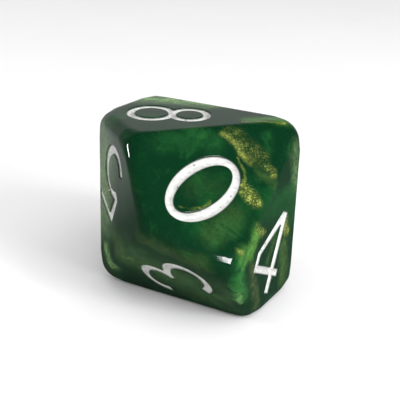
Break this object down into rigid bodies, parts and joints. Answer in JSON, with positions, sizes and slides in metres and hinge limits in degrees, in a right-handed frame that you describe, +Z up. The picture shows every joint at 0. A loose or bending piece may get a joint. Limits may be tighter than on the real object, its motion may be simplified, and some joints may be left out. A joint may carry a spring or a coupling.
{
  "type": "ten-sided die",
  "caption": "Rounded ten-sided polyhedral die in swirled translucent plastic, with engraved, paint-filled numerals on its kite-shaped faces.",
  "frame": {"origin": "on the table, straight below the die's centre, with the die resting on the face that carries the 1", "axes": "+Z up, through the opposite face, which carries the 8; +X the way the poles' axis leans, so the pole of the even numerals is high on +X; +Y across it, along the die's longest extent"},
  "size_m": [0.0176, 0.0218, 0.016],
  "materials": {
    "swirled_resin": "glossy, tumbled, translucent dark green with gold and light green pearl swirls",
    "numeral_paint": "satin silver-white enamel paint"
  },
  "bodies": {
    "root": {"die_body": "swirled_resin", "numeral_0": "numeral_paint", "numeral_1": "numeral_paint", "numeral_2": "numeral_paint", "numeral_3": "numeral_paint", "numeral_4": "numeral_paint", "numeral_5": "numeral_paint", "numeral_6": "numeral_paint", "numeral_7": "numeral_paint", "numeral_8": "numeral_paint", "numeral_9": "numeral_paint", "numeral_6_dot": "numeral_paint", "numeral_9_dot": "numeral_paint"}
  },
  "joints": []
}
